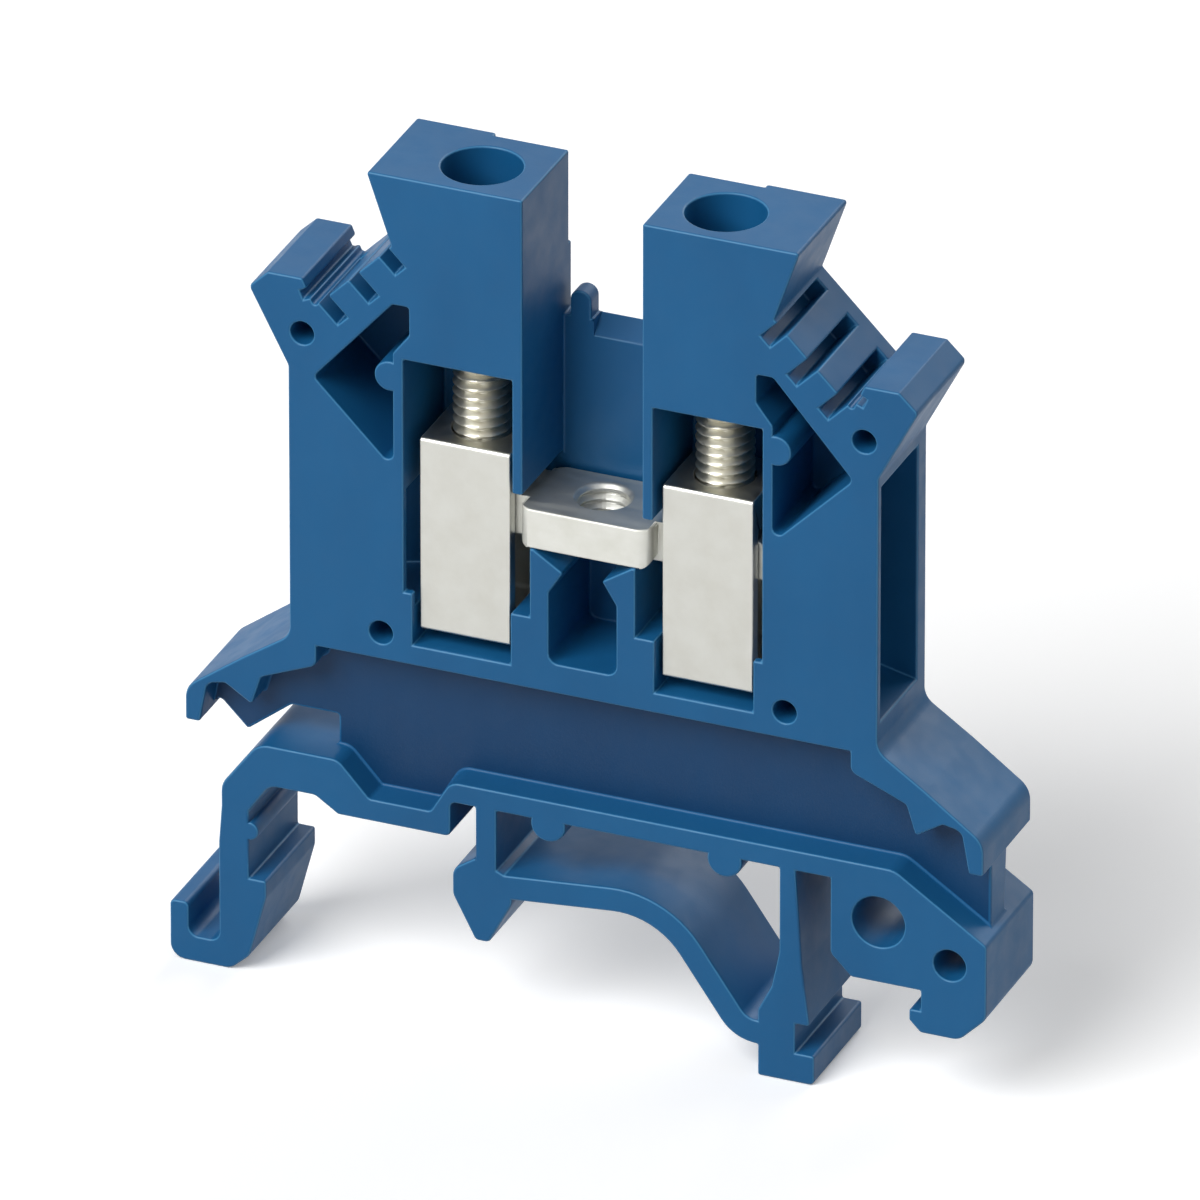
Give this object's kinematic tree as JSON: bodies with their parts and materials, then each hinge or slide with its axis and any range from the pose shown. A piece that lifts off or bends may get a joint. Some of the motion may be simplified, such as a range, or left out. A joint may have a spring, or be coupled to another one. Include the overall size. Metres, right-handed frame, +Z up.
{
  "type": "feed-through terminal block",
  "caption": "Rail-mounted terminal block, open on one side: a blue moulded housing with a latch foot, and screw-driven cage clamps at both ends of a current bar.",
  "frame": {"origin": "middle of the rail seat: on the rail's flange tops, midway between the flange edges and midway through the block's thickness", "axes": "+X across the block towards the fixed foot, +Y along the rail towards the closed back side, +Z up, away from the rail"},
  "size_m": [0.0427, 0.0062, 0.045],
  "materials": {
    "housing_plastic": "moulded polyamide, fine satin",
    "bar_metal": "tin-plated copper, satin",
    "cage_metal": "nickel plate, semi-bright",
    "screw_metal": "zinc-plated steel, slightly yellow"
  },
  "bodies": {
    "block": {"housing": "housing_plastic", "current_bar": "bar_metal"},
    "left_screw": {"left_clamp_screw": "screw_metal"},
    "right_screw": {"right_clamp_screw": "screw_metal"},
    "left_cage": {"left_clamp_cage": "cage_metal"},
    "right_cage": {"right_clamp_cage": "cage_metal"}
  },
  "joints": [
    {"name": "left_screw_turn", "type": "hinge", "parent": "block", "child": "left_screw", "pos_m": [-0.0063, -0.00035, 0.026], "axis": [0, 0, -1], "range_deg": [0, 2880]},
    {"name": "left_cage_lift", "type": "slide", "parent": "block", "child": "left_cage", "axis": [0, 0, 1], "range_m": [0, 0.004]},
    {"name": "right_screw_turn", "type": "hinge", "parent": "block", "child": "right_screw", "pos_m": [0.0063, -0.00035, 0.026], "axis": [0, 0, -1], "range_deg": [0, 2880]},
    {"name": "right_cage_lift", "type": "slide", "parent": "block", "child": "right_cage", "axis": [0, 0, 1], "range_m": [0, 0.004]}
  ],
  "couplings": [
    {"joint": "left_screw_turn", "follows": "left_cage_lift", "rad_per_m": 12566},
    {"joint": "right_screw_turn", "follows": "right_cage_lift", "rad_per_m": 12566}
  ]
}
